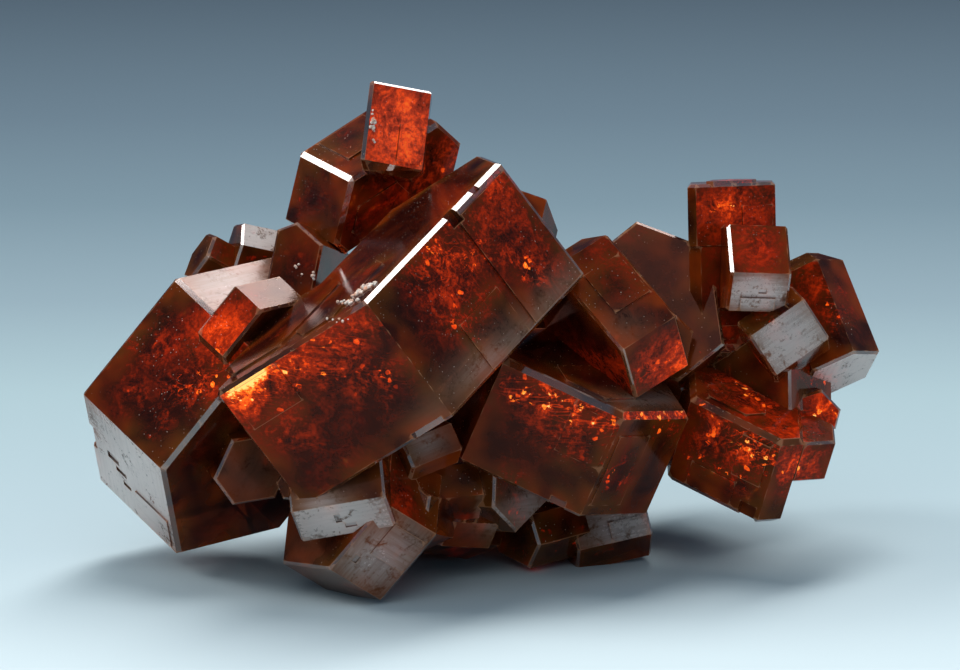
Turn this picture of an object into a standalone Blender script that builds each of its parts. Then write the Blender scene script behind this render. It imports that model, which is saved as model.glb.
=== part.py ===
# A vanadinite specimen: some forty short six-sided crystals grown through one another.
# Every crystal is described as it is seen from the front: x to the right, y away, z up,
# in millimetres. The whole cluster is then leant back by LEAN to stand on its underside.
import math

import bmesh
import bpy
from mathutils import Matrix, Vector

MM = 0.001
LEAN = math.radians(12.0)
SIXTH_TURN = math.radians(60.0)
# A corner of 120 degrees runs out this much further than the sides that meet in it.
CORNER = 2.0 / math.sqrt(3.0)
# The level, under the middle of the picture, that the cluster stands on, and the shift
# that brings the middle of its footprint to the origin.
RESTING_LEVEL = -11.7
MIDDLE = Vector((0.17, 3.03, RESTING_LEVEL))
# Corners that the fusing leaves closer than this are merged into one.
SEAM = 0.005
OBJECT_NAME = "vanadinite_cluster"
NODE_NAME = "crystal_cluster"

for old in list(bpy.data.objects):
    bpy.data.objects.remove(old, do_unlink=True)


def new_collection(name, shown):
    collection = bpy.data.collections.new(name)
    collection.hide_render = not shown
    bpy.context.scene.collection.children.link(collection)
    return collection


parts = new_collection(OBJECT_NAME, True)
singles = new_collection("single_crystals", False)
hollows = new_collection("pits_and_notches", False)
stand = new_collection("resting_surface", False)
grown = {}


def placed(point):
    """A point of the front view, in metres in the finished cluster's frame."""
    return (Matrix.Rotation(-LEAN, 3, "X") @ point - MIDDLE) * MM


def blank(name, points, collection):
    """The closed convex solid round some points, kept as a hidden blank."""
    mesh_edit = bmesh.new()
    for point in points:
        mesh_edit.verts.new(placed(point))
    bmesh.ops.convex_hull(mesh_edit, input=mesh_edit.verts)
    bmesh.ops.dissolve_limit(mesh_edit, angle_limit=0.002, verts=mesh_edit.verts, edges=mesh_edit.edges)
    mesh = bpy.data.meshes.new(name)
    mesh_edit.to_mesh(mesh)
    mesh_edit.free()
    shape = bpy.data.objects.new(name, mesh)
    collection.objects.link(shape)
    shape.hide_render = True
    shape.display_type = "WIRE"
    return shape


def six_corners(start, steps, lengths, trim):
    """Corners of a six-sided outline whose angles are all 120 degrees, each side moved in by trim."""
    corner = start + steps[1] * trim * CORNER
    corners = []
    for step, length in zip(steps, lengths):
        corners.append(corner.copy())
        corner = corner + step * (length - trim * CORNER)
    return corners


def crystal(name, corner, inward, side, hand, sides, length, near=0.12, far=0.12):
    """One crystal: corner and first side of its nearer end, and the way it runs in from there.

    hand is the way its outline turns about that run, sides are its first four sides, which
    set the last two, and near and far are the widths of the slanted faces round its ends.
    """
    inward = Vector(inward).normalized()
    side = Vector(side)
    side = (side - inward * side.dot(inward)).normalized()
    steps = [Matrix.Rotation(hand * SIXTH_TURN * count, 3, inward) @ side for count in range(6)]
    first, second, third, fourth = sides
    lengths = [first, second, third, fourth, first + second - fourth, third + fourth - first]
    start = Vector(corner)
    points = []
    for depth, trim in [(0.0, near), (near, 0.0), (length - far, 0.0), (length, far)]:
        points += [point + inward * depth for point in six_corners(start, steps, lengths, trim)]
    grown[name] = (six_corners(start, steps, lengths, 0.0), steps, inward)
    blank(name, points, singles)


def block_on(parent, face, along, width, depth, length, below, above):
    """Eight corners of a block on a side face, from below the face to above it."""
    corners, steps, inward = grown[parent]
    out = steps[face].cross(inward)
    if out.dot(corners[face] - corners[(face + 3) % 6]) < 0.0:
        out = -out
    points = []
    for run in (along, along + width):
        for deep in (depth, depth + length):
            for height in (-below, above):
                points.append(corners[face] + steps[face] * run + inward * deep + out * height)
    return points


def layer(parent, face, along, width, depth, length, above):
    """A growth layer: a thin block grown on a side face, square to the crystal it sits on."""
    blank(parent + "_layer", block_on(parent, face, along, width, depth, length, 0.4, above), singles)


def pit(parent, face, along, width, depth, length, below):
    """A pit or notch sunk in a side face, square to the crystal it is in."""
    blank(parent + "_pit", block_on(parent, face, along, width, depth, length, below, 0.4), hollows)


def end_layer(parent, along, across, sides, above):
    """A growth layer on a crystal's nearer end, with the same outline turned the same way."""
    corners, steps, inward = grown[parent]
    start = corners[0] + steps[0] * along + steps[2] * across
    first, second, third, fourth = sides
    lengths = [first, second, third, fourth, first + second - fourth, third + fourth - first]
    points = []
    for depth in (-above, 0.5):
        points += [point + inward * depth for point in six_corners(start, steps, lengths, 0.0)]
    blank(parent + "_end_layer", points, singles)


# The four great crystals of the front.
crystal("large_left", (-15.15, 2.6, -10.35), (-0.63, 0.51, 0.58), (-0.08, -0.79, 0.60), 1,
        (7.2, 7.5, 7.1, 7.1), 6.6, near=0.2, far=0.15)
crystal("large_centre", (-12.9, -7.4, -2.1), (0.59, 0.225, -0.775), (0.78, -0.39, 0.49), -1,
        (9.3, 11.7, 4.2, 5.7), 7.3, near=0.2, far=0.15)
crystal("large_right_of_centre", (1.25, -3.5, -0.4), (-0.38, 0.31, -0.87), (0.92, -0.10, -0.38), -1,
        (6.6, 5.3, 4.4, 6.0), 5.9, near=0.3, far=0.15)
crystal("large_lower_right", (10.6, 0.6, -2.35), (-0.25, 0.45, -0.86), (0.84, -0.33, -0.43), -1,
        (5.3, 1.4, 5.2, 3.4), 4.9, near=0.25, far=0.3)
crystal("second_lower_right", (15.5, 0.2, -4.3), (-0.25, 0.45, -0.86), (0.84, -0.33, -0.43), -1,
        (0.9, 1.9, 1.8, 1.2), 2.3)

# The group at the top left, with the bright upright crystal on it.
crystal("top_left", (-7.25, 3.8, 5.25), (-0.66, 0.66, 0.35), (0.23, -0.27, 0.93), 1,
        (3.55, 5.95, 2.4, 2.25), 4.1, near=0.2, far=0.15)
crystal("top_upright", (-5.3, 1.8, 13.5), (-0.12, -0.09, -0.98), (0.86, 0.47, -0.15), -1,
        (3.3, 2.0, 1.6, 1.95), 4.5, near=0.1, far=0.5)
crystal("left_of_top", (-10.2, 1.9, 6.05), (0.25, 0.93, -0.10), (0.88, -0.33, 0.35), 1,
        (1.1, 1.8, 3.2, 1.5), 5.5)
crystal("pale_behind_left", (-12.0, 4.6, 6.4), (0.95, 0.25, -0.20), (0.10, -0.50, -0.85), 1,
        (1.3, 1.5, 2.0, 1.2), 2.6)
crystal("small_behind_left", (-13.8, 4.3, 4.75), (0.84, 0.28, -0.47), (0.30, 0.50, 0.75), -1,
        (1.3, 1.6, 1.5, 1.5), 3.0, near=0.15)
crystal("against_large_left", (-12.5, -2.0, -1.7), (-0.63, 0.51, 0.58), (-0.08, -0.79, 0.60), 1,
        (2.2, 3.0, 3.0, 2.2), 2.2)

# The right-hand group.
crystal("middle_right", (3.6, -1.5, 4.05), (0.79, 0.36, 0.50), (0.61, -0.33, -0.72), 1,
        (5.65, 3.1, 4.0, 4.6), 3.5, near=0.12, far=0.12)
crystal("behind_middle_right", (9.9, 0.5, 1.7), (-0.50, 0.80, 0.20), (0.70, 0.35, -0.60), 1,
        (1.4, 1.9, 1.4, 1.4), 3.0)
crystal("dark_behind_right", (7.9, 4.0, 6.5), (0.10, 0.97, -0.20), (0.91, 0.0, -0.37), 1,
        (4.0, 5.0, 3.0, 2.8), 4.5)
crystal("upright_right", (10.85, 2.2, 8.3), (0.02, 0.05, -1.0), (0.88, 0.47, 0.0), -1,
        (4.6, 2.4, 2.0, 3.1), 3.2, near=0.15, far=0.1)
crystal("upright_right_stem", (11.1, 2.5, 5.6), (0.02, 0.05, -1.0), (0.88, 0.47, 0.0), -1,
        (4.1, 2.4, 2.0, 2.8), 6.0, near=0.15, far=0.2)
crystal("small_front_right", (12.4, 1.5, 6.3), (0.98, 0.16, -0.03), (0.05, -0.51, -0.86), 1,
        (2.8, 2.2, 2.0, 2.4), 3.1, near=0.15, far=0.12)
crystal("tilted_right", (13.5, 0.8, 0.65), (0.82, 0.12, 0.57), (0.54, 0.20, -0.80), 1,
        (2.4, 1.6, 2.0, 1.8), 3.4, near=0.12)
crystal("far_right", (18.85, 3.0, -0.15), (-0.33, 0.35, 0.87), (0.70, 0.70, 0.0), 1,
        (1.9, 2.9, 2.4, 1.8), 6.3, near=0.12, far=0.9)
crystal("orange_right", (17.25, 3.4, -2.0), (-0.30, 0.90, 0.10), (0.70, 0.20, -0.70), 1,
        (1.5, 1.0, 1.4, 1.3), 3.0)

# The crystals under the front.
crystal("low_front_left", (-7.45, -5.2, -10.8), (0.73, 0.51, -0.46), (-0.56, 0.83, 0.05), 1,
        (4.4, 3.6, 4.4, 4.4), 3.65, near=0.12, far=0.2)
crystal("low_front_pale", (-9.35, -6.0, -8.0), (0.96, -0.20, 0.17), (-0.09, 0.34, 0.94), -1,
        (2.4, 2.0, 2.2, 2.2), 4.85)
crystal("low_dark_red", (-3.9, -3.5, -6.0), (0.35, 0.90, -0.10), (0.75, -0.20, -0.60), 1,
        (2.0, 1.8, 1.8, 1.8), 4.0)
crystal("low_grey", (-3.85, -4.6, -4.55), (0.78, 0.55, 0.30), (0.10, -0.25, -0.96), 1,
        (1.4, 1.0, 1.7, 1.3), 3.2)
crystal("low_glittering", (-3.4, -2.0, -5.95), (0.93, 0.35, 0.10), (0.15, -0.30, -0.94), 1,
        (1.7, 1.6, 2.0, 1.6), 3.6)
crystal("low_small_pale", (0.75, -1.4, -6.1), (-0.82, 0.56, 0.04), (-0.04, 0.02, -1.0), -1,
        (1.75, 2.55, 2.95, 1.75), 2.4)
crystal("low_dark_middle", (-1.75, -0.5, -7.3), (0.80, 0.50, -0.05), (0.30, -0.30, -0.90), 1,
        (1.4, 1.5, 2.0, 1.8), 3.0)
crystal("low_brown", (-3.4, 1.0, -5.9), (0.60, 0.75, -0.10), (0.55, -0.50, -0.65), 1,
        (2.2, 2.0, 2.2, 2.2), 6.0)
crystal("low_dark", (4.45, 3.6, -8.1), (0.95, 0.22, 0.21), (-0.25, -0.20, -0.95), 1,
        (2.1, 1.8, 3.0, 2.4), 4.0)
crystal("low_dark_second", (2.5, 2.0, -8.3), (0.80, 0.55, 0.20), (0.10, -0.20, -0.95), 1,
        (1.6, 1.8, 2.6, 1.8), 3.5)
crystal("low_grey_left", (-10.6, -1.5, -4.2), (-0.30, 0.90, 0.30), (0.60, 0.10, -0.80), 1,
        (2.2, 1.8, 2.2, 1.8), 5.0)
crystal("low_left_chip", (-10.2, -2.6, -6.6), (0.40, 0.90, 0.10), (0.60, 0.0, 0.80), 1,
        (0.8, 0.9, 0.9, 0.8), 3.0)
crystal("dark_under_right", (13.6, 3.0, 0.6), (0.50, 0.86, 0.05), (0.75, -0.40, -0.50), 1,
        (2.6, 2.4, 2.6, 2.6), 4.5)

# The back, which the picture does not show, in the same habit and sizes.
crystal("back_centre", (6.0, 12.0, 4.6), (-0.35, -0.90, -0.25), (-0.80, 0.42, -0.42), 1,
        (7.0, 6.0, 5.0, 5.6), 6.0, near=0.2)
crystal("back_left", (-4.0, 13.2, 0.5), (0.25, -0.85, 0.45), (-0.90, -0.35, -0.20), 1,
        (5.6, 5.2, 5.0, 5.0), 6.5, near=0.2)
crystal("back_right", (16.5, 10.8, -0.2), (-0.75, -0.60, 0.25), (-0.45, 0.75, 0.45), 1,
        (4.6, 4.4, 4.0, 4.2), 6.0, near=0.2)
crystal("back_low", (4.4, 14.2, -2.1), (-0.30, -0.75, 0.55), (-0.88, 0.10, -0.45), 1,
        (5.0, 5.4, 4.6, 4.4), 7.0, near=0.2)
crystal("back_left_low", (-4.6, 11.6, -4.6), (0.20, -0.90, 0.35), (-0.85, -0.25, -0.45), 1,
        (3.6, 4.0, 3.6, 3.6), 6.0)
crystal("back_top_small", (1.0, 10.2, 8.6), (-0.20, -0.55, -0.80), (-0.70, 0.60, -0.30), 1,
        (2.6, 2.6, 2.6, 2.6), 5.0)

# Growth layers: low steps that stand up from the faces.
layer("large_centre", 1, 7.43, 4.05, 0.46, 6.61, 0.13)
layer("large_centre", 1, 3.64, 3.22, 4.33, 2.77, 0.08)
layer("large_centre", 0, 0.42, 3.03, 0.33, 2.24, 0.07)
layer("large_left", 0, 0.33, 2.17, 0.45, 2.6, 0.09)
layer("large_left", 5, 1.03, 4.57, 2.42, 3.83, 0.09)
layer("large_right_of_centre", 0, 4.07, 2.32, 0.57, 2.64, 0.08)
layer("large_right_of_centre", 1, 0.34, 2.38, 1.23, 3.96, 0.08)
layer("large_lower_right", 0, 3.24, 1.63, 0.53, 2.33, 0.12)
layer("large_lower_right", 0, 1.04, 2.57, 3.23, 1.28, 0.08)
layer("top_left", 1, 1.04, 3.02, 1.43, 2.34, 0.1)
layer("top_upright", 0, 1.73, 1.42, 1.92, 1.87, 0.12)
layer("middle_right", 0, 1.23, 2.58, 1.04, 2.18, 0.07)
layer("upright_right_stem", 0, 0.33, 1.82, 4.43, 0.71, 0.14)
layer("upright_right_stem", 0, 0.53, 1.52, 5.37, 0.34, 0.25)
layer("upright_right", 0, 2.63, 1.76, 1.13, 1.87, 0.09)
layer("small_front_right", 1, 1.37, 0.66, 0.63, 1.78, 0.16)
layer("low_front_left", 5, 0.63, 1.97, 1.23, 2.07, 0.07)
layer("low_dark", 0, 1.07, 0.84, 1.83, 1.93, 0.14)
end_layer("upright_right", 1.0, 0.4, (2.9, 0.9, 1.2, 1.3), 0.14)
end_layer("large_centre", 1.4, 1.5, (3.0, 5.2, 2.2, 2.6), 0.1)
end_layer("large_centre", 5.6, 0.7, (1.9, 4.4, 1.6, 1.8), 0.08)
end_layer("large_right_of_centre", 3.6, 0.9, (2.2, 2.4, 1.8, 2.0), 0.1)
end_layer("large_lower_right", 1.0, 0.8, (2.2, 1.2, 1.8, 1.6), 0.12)
end_layer("top_left", 1.2, 1.0, (1.4, 2.6, 1.2, 1.0), 0.09)

# Pits and notches: stepped hollows where the crystals stopped growing or were etched.
pit("large_left", 0, 2.93, 1.87, 6.17, 0.63, 0.45)
pit("large_left", 0, 3.31, 0.52, 4.27, 0.91, 0.12)
pit("large_left", 0, 2.71, 0.37, 3.77, 0.83, 0.11)
pit("large_left", 0, 1.92, 0.31, 3.53, 0.61, 0.1)
pit("large_centre", 1, 6.98, 0.77, -0.23, 0.97, 0.35)
pit("large_centre", 1, 9.21, 0.53, -0.23, 0.52, 0.2)
pit("large_centre", 0, 6.93, 1.87, 6.93, 0.57, 0.25)
pit("low_front_pale", 5, 0.83, 0.52, 2.03, 0.31, 0.12)
pit("low_front_pale", 5, 0.41, 0.26, 2.42, 0.57, 0.1)
pit("low_front_left", 5, 3.03, 0.42, 0.67, 0.31, 0.12)
pit("large_lower_right", 0, 4.11, 0.93, 4.03, 1.17, 0.45)
pit("large_right_of_centre", 0, 4.87, 0.83, 5.47, 0.53, 0.28)
pit("small_front_right", 1, 0.93, 0.24, 1.53, 0.41, 0.1)
pit("low_dark", 0, 0.47, 0.29, 2.23, 1.07, 0.15)

# The crystals are fused into one closed solid, its pits are sunk and its foot is flat.
first = singles.objects["large_centre"]
cluster = bpy.data.objects.new(NODE_NAME, first.data.copy())
parts.objects.link(cluster)
bpy.data.objects.remove(first, do_unlink=True)
bpy.ops.mesh.primitive_cube_add(size=60.0 * MM, location=(0.0, 0.0, -30.0 * MM))
table = bpy.context.object
table.name = "table"
for collection in list(table.users_collection):
    collection.objects.unlink(table)
stand.objects.link(table)
table.hide_render = True
table.display_type = "WIRE"
for name, operation, collection in [
    ("fuse_the_crystals", "UNION", singles),
    ("sink_the_pits", "DIFFERENCE", hollows),
    ("flatten_the_foot", "DIFFERENCE", stand),
]:
    modifier = cluster.modifiers.new(name, "BOOLEAN")
    modifier.operation = operation
    modifier.operand_type = "COLLECTION"
    modifier.collection = collection
    modifier.solver = "EXACT"

tidy = cluster.modifiers.new("close_the_seams", "WELD")
tidy.merge_threshold = SEAM * MM

vanadinite = bpy.data.materials.new("vanadinite")
vanadinite.use_nodes = True
shader = vanadinite.node_tree.nodes["Principled BSDF"]
shader.inputs["Base Color"].default_value = (0.17, 0.018, 0.006, 1.0)
shader.inputs["Roughness"].default_value = 0.18
shader.inputs["Metallic"].default_value = 0.0
cluster.data.materials.clear()
cluster.data.materials.append(vanadinite)
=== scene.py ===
"""The looks of a vanadinite crystal cluster: wine-brown prisms with ember-orange depths."""
import math

import bmesh
import bpy
import numpy as np
from mathutils import Matrix, Vector
from mathutils.bvhtree import BVHTree
from mathutils.kdtree import KDTree


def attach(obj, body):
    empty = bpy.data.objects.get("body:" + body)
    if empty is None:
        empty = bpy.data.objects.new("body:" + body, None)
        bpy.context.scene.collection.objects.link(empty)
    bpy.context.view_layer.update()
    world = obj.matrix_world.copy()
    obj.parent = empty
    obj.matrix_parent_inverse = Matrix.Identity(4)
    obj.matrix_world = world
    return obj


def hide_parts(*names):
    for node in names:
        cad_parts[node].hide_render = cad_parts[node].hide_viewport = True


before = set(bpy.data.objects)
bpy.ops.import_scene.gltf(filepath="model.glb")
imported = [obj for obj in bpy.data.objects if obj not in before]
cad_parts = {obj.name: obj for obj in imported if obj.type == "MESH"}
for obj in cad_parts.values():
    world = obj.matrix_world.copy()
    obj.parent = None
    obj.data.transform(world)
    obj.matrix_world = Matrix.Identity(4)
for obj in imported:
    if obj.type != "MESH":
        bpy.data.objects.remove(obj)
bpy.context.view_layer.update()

# Camera: it looks down on the cluster by the angle that the cluster leans back in the CAD, from
# far away with a long lens, so that the crystals' parallel edges stay parallel. The Standard view
# transform keeps the embers red.
CAMERA_DROP = math.radians(12.0)
CAMERA_DISTANCE = 0.42
PICTURE_WIDTH = 0.048
aim = Vector((-0.00017, -0.00287, 0.01243))
camera_data = bpy.data.cameras.new("camera")
camera_data.sensor_width = 36.0
camera_data.lens = 36.0 * CAMERA_DISTANCE / PICTURE_WIDTH
camera_data.clip_start = 0.01
camera_data.clip_end = 10.0
camera = bpy.data.objects.new("camera", camera_data)
bpy.context.scene.collection.objects.link(camera)
toward_camera = Vector((0.0, -math.cos(CAMERA_DROP), math.sin(CAMERA_DROP)))
camera.location = aim + CAMERA_DISTANCE * toward_camera
camera.rotation_euler = (math.radians(90.0) - CAMERA_DROP, 0.0, 0.0)
bpy.context.scene.camera = camera
bpy.context.scene.view_settings.view_transform = "Standard"


# Floor and backdrop: one pale sheet that lies flat under the cluster and sweeps up behind it.
# Its colour, painted light and shade, runs from pale blue-white in front to slate blue behind.
def sweep_profile(length_flat, radius, height, steps):
    """Points (away, up) of a flat run, a quarter circle of that radius and a wall, as one line."""
    angle = np.linspace(0.0, math.pi / 2, steps)
    arc = np.column_stack([length_flat + radius * np.sin(angle), radius - radius * np.cos(angle)])
    return np.vstack([[-1.2, 0.0], arc, [length_flat + radius, height]])


profile = sweep_profile(0.7, 0.3, 0.8, 24)
sides = np.array([-1.5, 1.5])
points = np.array([[x, away, up] for away, up in profile for x in sides])
faces = [(2 * i, 2 * i + 1, 2 * i + 3, 2 * i + 2) for i in range(len(profile) - 1)]
floor_mesh = bpy.data.meshes.new("floor")
floor_mesh.from_pydata(points.tolist(), [], faces)
floor_mesh.shade_smooth()
floor = bpy.data.objects.new("floor", floor_mesh)
bpy.context.scene.collection.objects.link(floor)
paper = bpy.data.materials.new("pale_paper")
paper.use_nodes = True
tree = paper.node_tree
paper_shader = tree.nodes["Principled BSDF"]
paper_shader.inputs["Roughness"].default_value = 0.85
paper_shader.inputs["Specular IOR Level"].default_value = 0.1
place = tree.nodes.new("ShaderNodeNewGeometry")
split = tree.nodes.new("ShaderNodeSeparateXYZ")
tree.links.new(place.outputs["Position"], split.inputs["Vector"])
run = tree.nodes.new("ShaderNodeMapRange")
run.inputs["From Min"].default_value = -0.25
run.inputs["From Max"].default_value = 0.17
tree.links.new(split.outputs["Y"], run.inputs["Value"])
# Painted shade: the colour darkens with distance behind the cluster, as if less light fell there.
painted_floor_shade = tree.nodes.new("ShaderNodeValToRGB")
tree.links.new(run.outputs["Result"], painted_floor_shade.inputs["Fac"])
stops = painted_floor_shade.color_ramp.elements
stops[0].color = (0.39, 0.445, 0.47, 1.0)
stops[1].color = (0.055, 0.080, 0.105, 1.0)
for position, colour in [
    (0.54, (0.545, 0.63, 0.66)), (0.60, (0.40, 0.49, 0.53)), (0.69, (0.31, 0.405, 0.435)),
    (0.75, (0.213, 0.284, 0.323)), (0.82, (0.137, 0.195, 0.232)), (0.89, (0.097, 0.139, 0.174)),
]:
    stops.new(position).color = (*colour, 1.0)
tree.links.new(painted_floor_shade.outputs["Color"], paper_shader.inputs["Base Color"])
floor_mesh.materials.append(paper)


# The studio light: a long soft box over the cluster and one at its left, whose images lie as white
# strips along the crystals' narrow edge faces, a weak one in front, and a dim room.
def soft_box(name, toward, along, distance, width, length, power, colour):
    """A rectangular lamp at that distance in that direction from the cluster, facing the cluster,
    with its length as near to the direction along as that allows."""
    out = Vector(toward).normalized()
    lengthwise = (Vector(along) - out * out.dot(Vector(along))).normalized()
    lamp_data = bpy.data.lights.new(name, "AREA")
    lamp_data.shape = "RECTANGLE"
    lamp_data.size = width
    lamp_data.size_y = length
    lamp_data.energy = power
    lamp_data.color = colour
    lamp = bpy.data.objects.new(name, lamp_data)
    bpy.context.scene.collection.objects.link(lamp)
    turned = Matrix((lengthwise.cross(out), lengthwise, out)).transposed().to_4x4()
    lamp.matrix_world = Matrix.Translation(aim + out * distance) @ turned
    return lamp


soft_box("soft_box_above", (0.14, 0.40, 1.0), (0.52, 0.854, 0.0), 0.45, 0.15, 0.52, 2.5,
         (1.0, 0.98, 0.95))
soft_box("soft_box_left", (-0.795, 0.07, 0.62), (0.0, 0.0, 1.0), 0.45, 0.15, 0.15, 0.75,
         (1.0, 0.98, 0.95))
soft_box("soft_box_front", (-0.1, -1.0, 0.9), (1.0, 0.0, 0.0), 0.7, 0.4, 0.6, 1.1,
         (1.0, 0.97, 0.94))
room = bpy.data.worlds.new("studio")
room.use_nodes = True
room.node_tree.nodes["Background"].inputs["Color"].default_value = (0.25, 0.37, 0.47, 1.0)
room.node_tree.nodes["Background"].inputs["Strength"].default_value = 0.88
bpy.context.scene.world = room

# The crystals: vanadinite, a lead vanadate mineral that grew as stout six-sided prisms through one
# another. It is a brittle, very glossy, wine-brown body that lets light through only in its thin
# edges and along its inner cracks, where it burns orange. The solids' own faces are kept.
MM = 0.001
TRIANGLE_SIDE = 0.45 * MM
WELD_GAP = 0.001 * MM
cad_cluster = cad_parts["crystal_cluster"]
shape = bmesh.new()
shape.from_mesh(cad_cluster.data)
bmesh.ops.remove_doubles(shape, verts=shape.verts, dist=WELD_GAP)
bmesh.ops.dissolve_limit(shape, angle_limit=math.radians(0.3), verts=shape.verts,
                         edges=shape.edges)


# The picture is 960 by 670 points, each 0.05 mm wide at the cluster. The point (480, 350) shows
# the middle of the cluster, here in millimetres.
PICTURE_STEP = 0.05
MIDDLE_ACROSS, MIDDLE_DOWN = 480.0, 350.0
CLUSTER_MIDDLE = (-0.17, -3.03, 11.7)
IN_FRONT = 0.1
looking = Vector((0.0, math.cos(CAMERA_DROP), -math.sin(CAMERA_DROP)))


def from_picture(across, down):
    """The point at that place of the picture, on the plane through the cluster's middle that
    faces the camera."""
    right, up = (across - MIDDLE_ACROSS) * PICTURE_STEP, (MIDDLE_DOWN - down) * PICTURE_STEP
    x, y, z = CLUSTER_MIDDLE
    lean = CAMERA_DROP
    return Vector((right + x, up * math.sin(lean) + y, up * math.cos(lean) + z)) * MM


def first_seen(on_surface, across, down):
    """The point of the surface that the front view shows at that place of the picture, and the
    surface's normal there, or None twice where the view meets nothing."""
    start = from_picture(across, down) - looking * IN_FRONT
    seen, normal, number, far = on_surface.ray_cast(start, looking)
    return seen, normal


def gap_to(edge, place):
    """Distance from the place to the nearest point of the edge."""
    start, end = (vert.co for vert in edge.verts)
    along = min(1.0, max(0.0, (place - start).dot(end - start) / (end - start).length_squared))
    return (start + (end - start) * along - place).length


# Some long edges are worn to a narrow flat, which mirrors the lamps as a white strip: the place in
# the picture, and the width of the flat in millimetres.
SHARP = math.radians(20.0)
REACH = 0.7 * MM
for across, down, width in [
    (193, 299, 0.30), (325, 165, 0.32), (208, 260, 0.16), (560, 384, 0.08), (628, 366, 0.08),
    (205, 440, 0.10), (700, 330, 0.08), (808, 245, 0.14), (520, 170, 0.08), (425, 345, 0.06),
]:
    seen, normal = first_seen(BVHTree.FromBMesh(shape), across, down)
    if seen is None:
        continue
    sharp = [edge for edge in shape.edges if edge.calc_face_angle_signed(0.0) > SHARP]
    nearest = min(sharp, key=lambda edge: gap_to(edge, seen))
    if gap_to(nearest, seen) < REACH:
        bmesh.ops.bevel(shape, geom=[nearest], offset=width * MM, offset_type="WIDTH", segments=1,
                        affect="EDGES", clamp_overlap=True)

# The wear leaves the faces in no fixed order. They are put in one, for the same result each run.
shape.verts.index_update()
places = [vert.co.copy() for vert in shape.verts]
rings = []
for face in shape.faces:
    ring = [vert.index for vert in face.verts]
    lowest = ring.index(min(ring))
    rings.append(ring[lowest:] + ring[:lowest])
shape.clear()
verts = [shape.verts.new(place) for place in places]
for ring in sorted(rings):
    shape.faces.new([verts[index] for index in ring])
shape.normal_update()

# Each flat face is numbered, with its normal and the direction of its longest side. Its width is
# its area over that side, and pieces of one flat face count as one.
ONE_FLAT = 0.01
facet_layer = shape.faces.layers.int.new("facet")
facet_normals = []
facet_axes = []
facet_widths = []
shape.faces.ensure_lookup_table()
whole = {}
for face in shape.faces:
    if face.index in whole:
        continue
    group = [face]
    whole[face.index] = group
    for piece in group:
        for edge in piece.edges:
            for other in edge.link_faces:
                if other.index not in whole and other.normal.angle(face.normal, 1.0) < ONE_FLAT:
                    whole[other.index] = group
                    group.append(other)
for number, face in enumerate(shape.faces):
    group = whole[face.index]
    sides_of_group = (edge for piece in group for edge in piece.edges)
    longest = max(sides_of_group, key=lambda edge: edge.calc_length())
    face[facet_layer] = number
    facet_normals.append(face.normal.copy())
    facet_axes.append((longest.verts[1].co - longest.verts[0].co).normalized())
    facet_widths.append(sum(piece.calc_area() for piece in group) / longest.calc_length() / MM)
facet_normals = np.array(facet_normals)
facet_axes = np.array(facet_axes)
facet_widths = np.array(facet_widths)

# Points along the outer edges, for the distance of each place from them.
POINT_GAP = 0.12 * MM
OUTER = math.radians(12.0)
outer_edges = []
for edge in shape.edges:
    if edge.calc_face_angle_signed(0.0) < OUTER:
        continue
    ends = np.array([edge.verts[0].co, edge.verts[1].co])
    count = max(2, int(edge.calc_length() / POINT_GAP))
    run = np.linspace(0.0, 1.0, count)[:, None]
    outer_edges.append(ends[0] + run * (ends[1] - ends[0]))

# The large faces are divided so finely that the colours below can change over them.
bmesh.ops.triangulate(shape, faces=shape.faces, quad_method="BEAUTY", ngon_method="BEAUTY")
for step in range(6):
    too_long = [edge for edge in shape.edges if edge.calc_length() > TRIANGLE_SIDE]
    bmesh.ops.subdivide_edges(shape, edges=too_long, cuts=1)
    bmesh.ops.triangulate(shape, faces=[face for face in shape.faces if len(face.verts) > 3])
    flat = [edge for edge in shape.edges if edge.calc_face_angle(0.0) < 0.004]
    bmesh.ops.beautify_fill(shape, faces=shape.faces, edges=flat)
# A triangle that the steps above laid on another one with the same corners goes, with its twin.
twins = {}
for face in shape.faces:
    twins.setdefault(frozenset(face.verts), []).append(face)
doubled = [face for group in twins.values() if len(group) > 1 for face in group]
bmesh.ops.delete(shape, geom=doubled, context="FACES")
crystals_mesh = bpy.data.meshes.new("crystals")
shape.to_mesh(crystals_mesh)
shape.free()
crystals = bpy.data.objects.new("crystals", crystals_mesh)
bpy.context.scene.collection.objects.link(crystals)

points = np.empty(len(crystals_mesh.vertices) * 3)
crystals_mesh.vertices.foreach_get("co", points)
points = points.reshape(-1, 3) / MM
corner_point = np.empty(len(crystals_mesh.loops), dtype=int)
crystals_mesh.loops.foreach_get("vertex_index", corner_point)
face_facet = np.empty(len(crystals_mesh.polygons), dtype=int)
crystals_mesh.attributes["facet"].data.foreach_get("value", face_facet)
corner_facet = np.repeat(face_facet, 3)
corners = points[corner_point]


def distance_to(samples, places):
    """Distance in millimetres from each place to the nearest of the sample points."""
    samples = np.vstack(samples) / MM
    tree_of_points = KDTree(len(samples))
    for number, sample in enumerate(samples):
        tree_of_points.insert(sample, number)
    tree_of_points.balance()
    return np.array([tree_of_points.find(place)[2] for place in places])


def keep(name, kind, values, domain="CORNER"):
    """Stores one value or vector per corner (or point) of the mesh, for the material to read."""
    layer = crystals_mesh.attributes.new(name, kind, domain)
    what = "vector" if kind == "FLOAT_VECTOR" else "value"
    layer.data.foreach_set(what, values.astype(np.float32).ravel())


# Rim: the distance from the outer edges. Run: the place along the longest side of its face and
# across it, with a shift of its own for each face.
keep("rim", "FLOAT", distance_to(outer_edges, points), "POINT")
axis = facet_axes[corner_facet]
across = np.cross(facet_normals[corner_facet], axis)
keep("run", "FLOAT_VECTOR", np.column_stack([
    (corners * axis).sum(1), (corners * across).sum(1), corner_facet * 7.31 % 50.0]))

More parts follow.
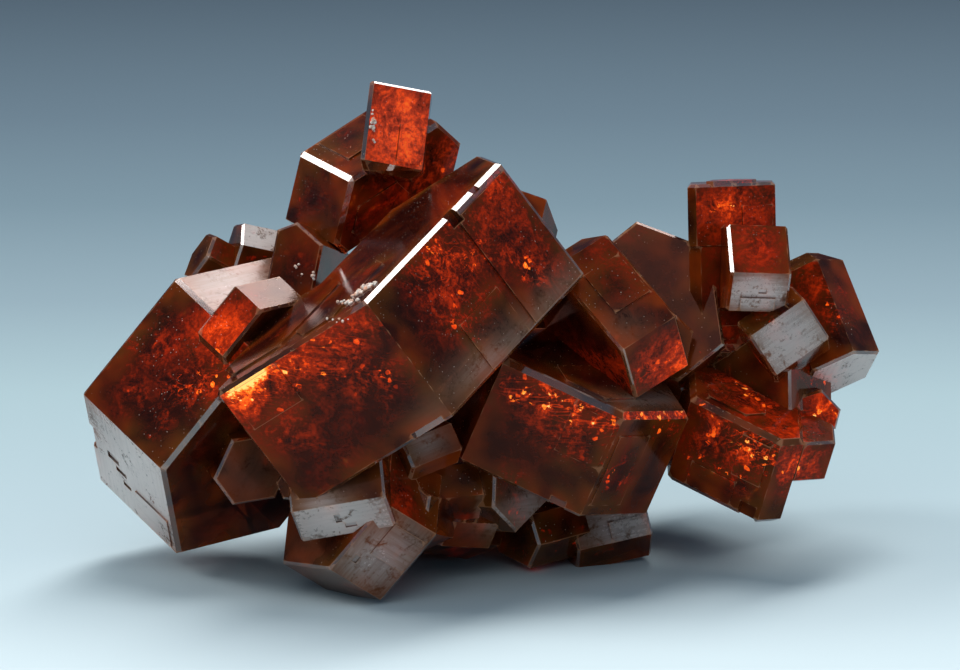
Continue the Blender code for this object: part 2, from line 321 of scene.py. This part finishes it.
# Places as the picture shows them: across and up from the cluster's middle, in millimetres.
from_middle = corners - CLUSTER_MIDDLE
picture_across = from_middle[:, 0]
picture_up = (from_middle[:, 1] * math.sin(CAMERA_DROP)
              + from_middle[:, 2] * math.cos(CAMERA_DROP))
surface = BVHTree.FromObject(crystals, bpy.context.evaluated_depsgraph_get())


def shifts(across, down, turn):
    """How far each corner lies from a place of the picture, along a direction that is turned
    anticlockwise by that many degrees, and square to it, in millimetres."""
    right = picture_across - (across - MIDDLE_ACROSS) * PICTURE_STEP
    up = picture_up - (MIDDLE_DOWN - down) * PICTURE_STEP
    angle = math.radians(turn)
    return (right * math.cos(angle) + up * math.sin(angle),
            up * math.cos(angle) - right * math.sin(angle))


SAME_WAY = 0.985
STEP_HEIGHT = 0.6


def painted(patches):
    """Sum of soft oval patches: height times exp(-(along/length)^2 - (over/width)^2), each one
    only on the flat face that its middle lies on in the front view, and on steps in that face."""
    total = np.zeros(len(corners))
    for across, down, length, width, turn, height in patches:
        place, normal = first_seen(surface, across, down)
        if place is None:
            continue
        same = facet_normals[corner_facet] @ np.array(normal) > SAME_WAY
        same &= np.abs((corners - np.array(place) / MM) @ np.array(normal)) < STEP_HEIGHT
        along, over = shifts(across, down, turn)
        total[same] += height * np.exp(-(along[same] / length) ** 2 - (over[same] / width) ** 2)
    return total


# Patches are listed with their middle in the picture, length and width in millimetres, turn in
# degrees, and height. The first table holds the embers.
# Painted glow: ember-orange light of clear parts and inner cracks, which the material also gives
# off.
PAINTED_GLOW_TABLE = [
    (256, 379, 1.1, 0.32, 34, 3.4), (310, 352, 4.0, 0.7, 27, 0.5), (300, 375, 3.0, 0.9, 15, 0.38),
    (258, 388, 1.2, 0.7, 20, 0.3), (250, 408, 1.3, 0.8, -40, 0.3), (380, 375, 2.0, 0.7, 30, 0.4),
    (290, 430, 1.6, 1.0, 0, 0.25), (355, 340, 2.0, 0.7, 20, 0.4), (237, 392, 0.6, 0.4, -40, 0.5),
    (450, 250, 1.6, 1.2, 20, 0.8), (530, 272, 0.9, 0.5, -40, 0.9), (495, 185, 1.2, 0.9, 45, 0.5),
    (420, 275, 1.0, 1.2, 0, 0.4), (465, 325, 1.0, 0.5, 0, 0.3), (500, 250, 1.0, 1.0, 0, 0.3),
    (200, 385, 1.4, 0.8, 20, 1.0), (175, 388, 0.5, 0.5, 0, 0.8), (215, 340, 1.2, 0.9, 0, 0.25),
    (222, 365, 0.6, 1.0, 0, 0.7), (545, 395, 2.0, 0.8, -15, 1.2), (582, 416, 2.4, 0.6, -22, 1.0),
    (500, 378, 1.5, 0.9, -10, 0.4), (560, 440, 2.4, 1.0, -20, 0.35),
    (600, 470, 1.5, 0.8, -20, 0.3), (652, 412, 2.0, 0.6, -4, 1.3), (625, 436, 1.4, 0.8, 0, 0.7),
    (670, 430, 0.8, 1.0, 60, 0.8), (705, 408, 1.2, 0.8, -30, 0.6), (735, 432, 2.6, 0.7, -25, 0.8),
    (765, 455, 2.0, 0.9, -20, 1.0), (730, 478, 2.2, 0.7, -15, 0.5), (800, 470, 1.2, 1.0, 40, 0.7),
    (695, 450, 1.0, 1.2, 0, 0.3), (750, 395, 1.4, 0.6, -30, 0.6), (400, 108, 1.5, 1.0, 0, 0.2),
    (405, 165, 1.4, 0.5, 0, 0.3), (678, 360, 1.0, 0.9, 0, 0.5), (650, 375, 1.0, 0.5, 30, 0.5),
    (725, 205, 1.2, 0.6, 0, 0.6), (757, 240, 0.8, 1.0, 0, 0.3), (835, 302, 0.5, 1.1, 20, 0.7),
    (825, 380, 0.8, 0.8, 0, 0.5), (825, 420, 1.0, 0.8, 0, 0.6),
]
# Clear, red-brown parts: partly the crystal's own colour, partly painted glow, as they feed the
# glow and its emission.
TONE_AND_GLOW = [
    (300, 352, 5.4, 1.2, 27, 1.0), (253, 379, 1.0, 0.26, 32, 6.0),
    (245, 400, 2.4, 1.6, -40, 0.35), (320, 410, 5.0, 2.4, 20, 0.45),
    (455, 262, 3.0, 2.6, 20, 0.6), (500, 195, 2.8, 1.6, -50, 0.55), (535, 250, 1.6, 2.4, 20, 0.2),
    (560, 270, 1.4, 2.0, 30, 0.35), (450, 330, 3.0, 2.0, 40, 0.3), (420, 190, 4.2, 1.4, 45, 0.5),
    (330, 285, 3.0, 2.2, 30, 0.4), (205, 360, 3.4, 2.8, 20, 0.5), (115, 400, 3.0, 1.2, 50, 0.35),
    (225, 330, 1.8, 1.2, 0, 0.6), (190, 455, 1.2, 3.4, -25, 0.35), (240, 395, 0.9, 1.6, 0, 0.6),
    (235, 480, 2.0, 2.0, 0, 0.15), (240, 318, 2.4, 1.2, 15, 0.7), (250, 345, 1.6, 1.2, 0, 0.5),
    (300, 262, 2.0, 3.0, 0, 0.35), (340, 130, 1.4, 2.4, 40, 0.3), (320, 215, 3.0, 3.0, 0, 0.12),
    (390, 205, 2.0, 2.4, 0, 0.35), (445, 150, 1.0, 1.6, 0, 0.5), (210, 255, 1.4, 1.4, 0, 0.6),
    (400, 130, 3.0, 4.0, 0, 1.9), (625, 280, 2.4, 3.4, 40, 0.4), (600, 250, 1.2, 1.2, 0, 0.3),
    (672, 368, 2.0, 1.2, 35, 0.9), (640, 345, 1.6, 1.6, 0, 0.3), (686, 362, 1.0, 2.0, 0, 0.9),
    (640, 228, 2.0, 0.7, 30, 0.35), (650, 260, 3.0, 3.0, 0, 0.12), (545, 400, 4.4, 1.4, -14, 0.6),
    (560, 445, 4.0, 2.4, -10, 0.3), (655, 418, 2.6, 1.2, 0, 1.0), (635, 475, 2.0, 2.0, 0, 0.15),
    (600, 370, 3.4, 1.4, -10, 0.8), (550, 325, 1.5, 2.0, 0, 0.25),
    (720, 435, 4.4, 2.4, -20, 0.55), (745, 400, 3.0, 1.4, -30, 0.7), (795, 435, 1.6, 1.2, 0, 0.8),
    (800, 470, 1.6, 2.0, 40, 0.9), (735, 210, 3.2, 1.8, 0, 1.2), (710, 285, 1.6, 2.4, 0, 0.35),
    (735, 335, 2.4, 1.2, 0, 0.6), (757, 248, 2.0, 2.4, 0, 0.75), (810, 275, 1.5, 3.2, 0, 0.85),
    (848, 290, 1.6, 3.4, -20, 0.35), (825, 370, 1.6, 1.6, 0, 0.8), (825, 415, 2.0, 2.0, 0, 1.2),
    (795, 370, 1.0, 1.0, 0, 0.6), (397, 500, 1.2, 2.6, 0, 0.7), (460, 525, 2.4, 2.0, 0, 0.35),
    (300, 540, 1.4, 2.4, 0, 0.3), (345, 470, 2.4, 1.2, 20, 0.35), (520, 490, 1.6, 2.0, 0, 0.4),
]
# Milky, etched faces, with painted reflection of the bright surroundings on some of them.
FILM_AND_REFLECTION = [
    (225, 285, 3.0, 1.8, 20, 0.62), (140, 480, 6.0, 6.0, 0, 0.95), (120, 490, 3.0, 3.0, 0, 0.3),
    (340, 515, 4.0, 2.0, 0, 1.0), (340, 575, 3.0, 3.0, 0, 0.45), (395, 550, 3.0, 3.0, 0, 0.5),
    (325, 503, 1.6, 1.0, 0, 0.6), (530, 505, 1.4, 1.8, 0, 0.5), (500, 515, 1.5, 1.2, 0, 0.6),
    (630, 525, 3.0, 2.0, 0, 0.75), (790, 340, 3.0, 3.0, 0, 0.85), (757, 293, 2.2, 1.2, 0, 1.0),
    (868, 365, 3.0, 2.0, 0, 1.3), (255, 235, 2.4, 1.4, 0, 1.2), (425, 440, 1.4, 1.4, 0, 0.5),
    (265, 475, 3.0, 3.0, 0, 0.18), (650, 398, 2.2, 0.6, 0, 0.5), (560, 290, 3.2, 0.9, 50, 0.3),
    (485, 362, 3.0, 1.0, 40, 0.4), (440, 410, 1.6, 1.0, 40, 0.2), (625, 330, 1.6, 1.2, 0, 0.15),
    (300, 545, 1.4, 2.4, 0, 0.14), (400, 135, 2.4, 3.0, 0, 0.2), (355, 560, 2.0, 1.6, 0, 0.25),
]
# Faces that the front view hides get painted ember glow from noise instead.
EDGE_ON = -0.12
turned_away = facet_normals[corner_facet] @ np.array(looking) > EDGE_ON
keep("away", "FLOAT", turned_away.astype(float))
# The narrow edge faces are bright, apart from four stretches that are worn dull: their middle in
# the picture, half their length in millimetres, and their turn.
NARROW = 0.45
SOFT_STEP = 0.1
DULL_REACH = 0.8
DULL_SHARE = 0.12
narrow_faces = np.clip((NARROW - facet_widths[corner_facet]) / SOFT_STEP, 0.0, 1.0)
for across, down, length, turn in [
    (285, 350, 4.0, 28), (745, 420, 3.4, -24), (655, 415, 2.2, 0), (655, 229, 1.8, -22),
]:
    along, over = shifts(across, down, turn)
    narrow_faces[(np.abs(along) < length) & (np.abs(over) < DULL_REACH)] *= DULL_SHARE
keep("narrow", "FLOAT", narrow_faces)
keep("painted_glow", "FLOAT", painted(PAINTED_GLOW_TABLE))
keep("tone_and_glow", "FLOAT", painted(TONE_AND_GLOW))
keep("film_and_reflection", "FLOAT", painted(FILM_AND_REFLECTION))

vanadinite = bpy.data.materials.new("vanadinite_crystal")
vanadinite.use_nodes = True
tree = vanadinite.node_tree
skin = tree.nodes["Principled BSDF"]


def add(kind, inputs=None, **settings):
    """Adds a node with these settings to the material whose node tree is in hand. Each input is a
    value, or the socket that feeds it."""
    node = tree.nodes.new(kind)
    for name, value in settings.items():
        setattr(node, name, value)
    for name, value in (inputs or {}).items():
        if isinstance(value, bpy.types.NodeSocket):
            tree.links.new(value, node.inputs[name])
        else:
            node.inputs[name].default_value = value
    return node


def stored(name, vector=False):
    """The value or vector that the mesh stores under that name."""
    return add("ShaderNodeAttribute", attribute_name=name).outputs["Vector" if vector else "Fac"]


def sums(operation, first, second):
    """The result of that operation, such as ADD or MULTIPLY, on two values."""
    return add("ShaderNodeMath", {0: first, 1: second}, operation=operation).outputs[0]


def between(value, low, high):
    """0 below low, 1 above high (or the other way round), with a soft step between."""
    node = add("ShaderNodeMapRange", {"Value": value, "From Min": low, "From Max": high})
    node.interpolation_type = "SMOOTHSTEP"
    return node.outputs["Result"]


def blend(factor, under, over):
    """The colour under where the factor is 0, and the colour over where it is 1."""
    node = add("ShaderNodeMix", data_type="RGBA")
    for number, value in ((0, factor), (6, under), (7, over)):
        if isinstance(value, bpy.types.NodeSocket):
            tree.links.new(value, node.inputs[number])
        elif number:
            node.inputs[number].default_value = (*value, 1.0)
        else:
            node.inputs[number].default_value = value
    return node.outputs[2]


def clouds(place, scale, detail=3.0, twist=0.0, roughness=0.5):
    """Soft noise between 0 and 1, with that many lumps per unit of the place."""
    return add("ShaderNodeTexNoise", {
        "Vector": place, "Scale": scale, "Detail": detail, "Distortion": twist,
        "Roughness": roughness,
    }).outputs["Fac"]


def in_millimetres():
    """The place on the piece, in millimetres, for the patterns to read."""
    return add("ShaderNodeMapping", {
        "Vector": add("ShaderNodeTexCoord").outputs["Object"], "Scale": (1000.0, 1000.0, 1000.0),
    }).outputs["Vector"]


place = in_millimetres()
run = stored("run", vector=True)
lines = add("ShaderNodeMapping", {"Vector": run, "Scale": (0.4, 6.0, 1.0)}).outputs["Vector"]
rim = stored("rim")
painted_glow = stored("painted_glow")
tone_and_glow = stored("tone_and_glow")
film_and_reflection = stored("film_and_reflection")
narrow = stored("narrow")

broad = clouds(place, 0.3, 2.0)
medium = clouds(place, 1.0, 4.0, 0.8, 0.68)
fine = clouds(place, 6.0, 2.0, 0.0, 0.6)
streaks = clouds(lines, 1.0, 2.0, 0.0, 0.6)

# Body: near black in the depth of a crystal, brown where it is a little clearer.
body = blend(between(medium, 0.3, 0.8), (0.016, 0.0028, 0.0024), (0.055, 0.008, 0.0035))
# Rims: painted orange-brown glow of light through the crystal where it is thin, with a painted
# pale highlight on the very edge.
painted_rim_glow = between(sums("ADD", rim, sums("MULTIPLY", sums("SUBTRACT", broad, 0.5), 1.6)), 1.6, -0.4)
painted_rim_glow = sums("MULTIPLY", painted_rim_glow, between(clouds(place, 0.55, 1.0), 0.25, 0.6))
painted_rim_glow_colour = blend(between(broad, 0.4, 0.6), (0.36, 0.050, 0.004), (0.20, 0.062, 0.008))
body = blend(sums("MULTIPLY", painted_rim_glow, 0.68), body, painted_rim_glow_colour)
# Embers: painted glow of clear red parts and inner cracks that throw light back, in the base
# colour and given off as emission, with sharp orange painted glints.
painted_glow_noise = between(clouds(place, 0.26, 2.0), 0.44, 0.74)
hidden = stored("away")
tone_and_glow = sums("ADD", tone_and_glow, sums("MULTIPLY", hidden, sums("MULTIPLY", painted_glow_noise, 1.1)))
painted_glow_share = sums("ADD", sums("MULTIPLY", hidden, 0.35), 0.35)
painted_glow_warmth = sums("ADD", painted_glow, sums("MULTIPLY", painted_glow_noise, painted_glow_share))
grain = sums("ADD", medium, sums("MULTIPLY", sums("SUBTRACT", fine, 0.5), 0.45))
drawn_out = add("ShaderNodeMapping", {
    "Vector": place, "Rotation": (0.35, -0.55, -0.46), "Scale": (0.20, 2.0, 2.0),
}).outputs["Vector"]
off_middle = add("ShaderNodeMath", {0: sums("SUBTRACT", clouds(drawn_out, 1.0, 3.0, 0.8), 0.5)},
                 operation="ABSOLUTE").outputs[0]
painted_glow_wisps = between(off_middle, 0.035, 0.0)
painted_glow_cloud = sums("MULTIPLY", painted_glow_warmth, between(grain, 0.46, 0.72))
painted_glow_cloud = sums("ADD", painted_glow_cloud, sums("MULTIPLY", sums("MULTIPLY", painted_glow_wisps, painted_glow_warmth), 0.55))
swirl = add("ShaderNodeTexNoise", {"Vector": place, "Scale": 2.5, "Detail": 2.0})
bent = blend(0.25, place, swirl.outputs["Color"])
glint_cells = add("ShaderNodeTexVoronoi", {"Vector": bent, "Scale": 4.2})
chance = add("ShaderNodeSeparateColor", {"Color": glint_cells.outputs["Color"]})
# Painted glints: small sharp orange flakes of light inside the glow.
painted_glint = between(sums("ADD", chance.outputs["Red"], sums("MULTIPLY", painted_glow_cloud, 0.3)), 0.94, 0.99)
painted_glint = sums("MULTIPLY", painted_glint, between(glint_cells.outputs["Distance"], 0.55, 0.4))
painted_glint = sums("MULTIPLY", painted_glint, between(painted_glow_warmth, 0.1, 0.6))
painted_glint = sums("MULTIPLY", painted_glint, sums("ADD", sums("MULTIPLY", chance.outputs["Green"], 0.5), 0.12))
# The clear red-brown tone adds painted glow here.
painted_glow_heat = sums("MULTIPLY", tone_and_glow, sums("MULTIPLY", between(grain, 0.0, 0.85), 0.34))
painted_glow_heat = sums("ADD", painted_glow_heat, sums("ADD", sums("MULTIPLY", painted_glow_cloud, 0.26), painted_glint))
painted_glow_colour = add("ShaderNodeValToRGB", {"Fac": painted_glow_heat})
ramp = painted_glow_colour.color_ramp
ramp.elements[0].color = (0.05, 0.009, 0.003, 1.0)
ramp.elements[0].position = 0.0
ramp.elements[1].color = (1.0, 0.60, 0.16, 1.0)
ramp.elements[1].position = 1.0
for position, colour in [
    (0.12, (0.18, 0.012, 0.003)), (0.28, (0.47, 0.025, 0.003)), (0.46, (0.82, 0.056, 0.004)),
    (0.7, (1.0, 0.17, 0.010)), (0.85, (1.0, 0.34, 0.04)),
]:
    ramp.elements.new(position).color = (*colour, 1.0)
body = blend(between(painted_glow_heat, 0.0, 0.2), body, painted_glow_colour.outputs["Color"])
# Film: a thin, milky etching on some of the faces, together with painted reflection of the bright
# surroundings.
milk_and_reflection = sums("MULTIPLY", film_and_reflection, between(grain, 0.1, 0.5))
brushed = sums("ADD", sums("MULTIPLY", between(streaks, 0.35, 0.6), 0.13), 0.89)
milk_and_reflection = sums("MULTIPLY", milk_and_reflection, brushed)
milk_and_reflection_colour = blend(between(milk_and_reflection, 0.2, 0.8), (0.44, 0.25, 0.16), (0.84, 0.74, 0.69))
body = blend(sums("MULTIPLY", milk_and_reflection, 0.85), body, milk_and_reflection_colour)
# A painted pale highlight along the very edge.
painted_edge_highlight = between(rim, 0.05, 0.01)
body = blend(sums("MULTIPLY", painted_edge_highlight, 0.30), body, (0.72, 0.34, 0.17))
# Dust: pale specks scattered over the faces that look upwards.
facing = add("ShaderNodeSeparateXYZ", {"Vector": add("ShaderNodeNewGeometry").outputs["Normal"]})
upward = facing.outputs["Z"]
motes = add("ShaderNodeTexVoronoi", {"Vector": place, "Scale": 7.0})
mote_chance = add("ShaderNodeSeparateColor", {"Color": motes.outputs["Color"]}).outputs["Red"]
mote = sums("MULTIPLY", between(motes.outputs["Distance"], 0.22, 0.12),
            between(mote_chance, 0.80, 0.9))
dusty = sums("MULTIPLY", between(upward, -0.3, 0.6), between(broad, 0.38, 0.6))
mote = sums("MULTIPLY", mote, dusty)
body = blend(sums("MULTIPLY", mote, 0.7), body, (0.80, 0.62, 0.52))
tree.links.new(body, skin.inputs["Base Color"])
# The painted glow is also given off as light, as emission.
tree.links.new(blend(between(painted_glow_heat, 0.0, 0.7), (0.0, 0.0, 0.0), painted_glow_colour.outputs["Color"]),
               skin.inputs["Emission Color"])
skin.inputs["Emission Strength"].default_value = 0.8
tree.links.new(sums("ADD", sums("MULTIPLY", narrow, 0.8), sums("MULTIPLY", milk_and_reflection, 0.08)),
               skin.inputs["Coat Weight"])
skin.inputs["Coat IOR"].default_value = 2.4
skin.inputs["Coat Roughness"].default_value = 0.04

rough = sums("ADD", sums("MULTIPLY", fine, 0.12), 0.04)
rough = sums("ADD", rough, sums("MULTIPLY", milk_and_reflection, 0.25))
tree.links.new(rough, skin.inputs["Roughness"])
skin.inputs["IOR"].default_value = 1.5
skin.inputs["Specular IOR Level"].default_value = 0.1
skin.inputs["Specular Tint"].default_value = (1.0, 0.45, 0.36, 1.0)
skin.inputs["Transmission Weight"].default_value = 0.3
skin.inputs["Metallic"].default_value = 0.0

# Relief: fine growth lines along the faces, and small etched pits.
relief = sums("MULTIPLY", streaks, 0.5)
relief = sums("ADD", relief, sums("MULTIPLY", between(fine, 0.66, 0.8), -0.25))
bump = add("ShaderNodeBump", {"Height": relief, "Strength": 0.2, "Distance": 0.00004})
tree.links.new(bump.outputs["Normal"], skin.inputs["Normal"])
crystals_mesh.materials.append(vanadinite)
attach(crystals, "root")
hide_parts("crystal_cluster")


# Grains: pale crumbs of crystal, at most about a quarter of a millimetre across, that lie in the
# notch over the great front face and on the faces round it, and have grown fast there.
def icosahedron():
    """Corners: the three even shifts of (0, +-1, +-golden ratio), over the length of one of them.
    Faces: every three corners that lie an edge's length from one another."""
    golden = (1.0 + math.sqrt(5.0)) / 2.0
    signs = np.array([(a, b) for a in (-1.0, 1.0) for b in (-1.0, 1.0)])
    base = np.column_stack([np.zeros(4), signs[:, 0], signs[:, 1] * golden])
    ball = np.vstack([base, np.roll(base, 1, axis=1), np.roll(base, 2, axis=1)])
    ball /= math.hypot(1.0, golden)
    near = np.linalg.norm(ball[:, None] - ball[None], axis=2) < 1.1
    threes = np.array([(a, b, c) for a in range(12) for b in range(a) for c in range(b)])
    first, second, third = threes.T
    return ball, threes[near[first, second] & near[second, third] & near[first, third]]


# Heaps: the middle of each in the picture, how far it spreads across and down, how steeply it
# climbs to the right, and how many grains it holds.
GRAIN_RADII = (0.04, 0.12)
UNEVEN = (0.7, 1.2)
ABOVE_FACE = 0.35
chance_of = np.random.RandomState(11)
ball, ball_faces = icosahedron()
grain_shapes = []
grain_middles = []
for across, down, spread_across, spread_down, climb, count in [
    (366, 291, 12.0, 3.0, 0.62, 60), (352, 303, 8.0, 3.0, 0.0, 20), (313, 276, 2.0, 2.5, 0.0, 5),
    (300, 268, 14.0, 12.0, 0.0, 4), (372, 125, 2.0, 16.0, 0.0, 22), (340, 320, 12.0, 2.0, 0.0, 6),
]:
    for number in range(count):
        shift = chance_of.normal(size=2) * (0.5 * spread_across, 0.5 * spread_down)
        shift[1] -= climb * shift[0]
        seen, normal = first_seen(surface, across + shift[0], down + shift[1])
        if seen is None:
            continue
        radius = chance_of.uniform(*GRAIN_RADII) * MM
        turn = np.linalg.qr(chance_of.normal(size=(3, 3)))[0]
        grain_shapes.append(ball * chance_of.uniform(*UNEVEN, size=(12, 1)) * radius @ turn)
        grain_middles.append(np.array(seen) + np.array(normal) * radius * ABOVE_FACE)
# Each face is turned so that its three corners, seen from outside, run anticlockwise.
grain_shapes = np.array(grain_shapes)
first, second, third = (grain_shapes[:, ball_faces[:, side]] for side in range(3))
outward = (np.cross(first, second) * third).sum(axis=2) > 0.0
grain_faces = ball_faces + 12 * np.arange(len(grain_shapes))[:, None, None]
grain_faces = np.where(outward[:, :, None], grain_faces, grain_faces[:, :, ::-1])
grain_points = grain_shapes + np.array(grain_middles)[:, None]
grains_mesh = bpy.data.meshes.new("grains")
grains_mesh.from_pydata(grain_points.reshape(-1, 3).tolist(), [],
                        grain_faces.reshape(-1, 3).tolist())
grains = bpy.data.objects.new("grains", grains_mesh)
bpy.context.scene.collection.objects.link(grains)
chalky = bpy.data.materials.new("pale_grains")
chalky.use_nodes = True
tree = chalky.node_tree
grain_skin = tree.nodes["Principled BSDF"]
place = in_millimetres()
stain = between(clouds(place, 3.0, 3.0), 0.4, 0.65)
tree.links.new(blend(stain, (0.80, 0.70, 0.62), (0.72, 0.36, 0.22)),
               grain_skin.inputs["Base Color"])
tree.links.new(sums("ADD", sums("MULTIPLY", stain, 0.2), 0.25), grain_skin.inputs["Roughness"])
grains_mesh.materials.append(chalky)
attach(grains, "root")
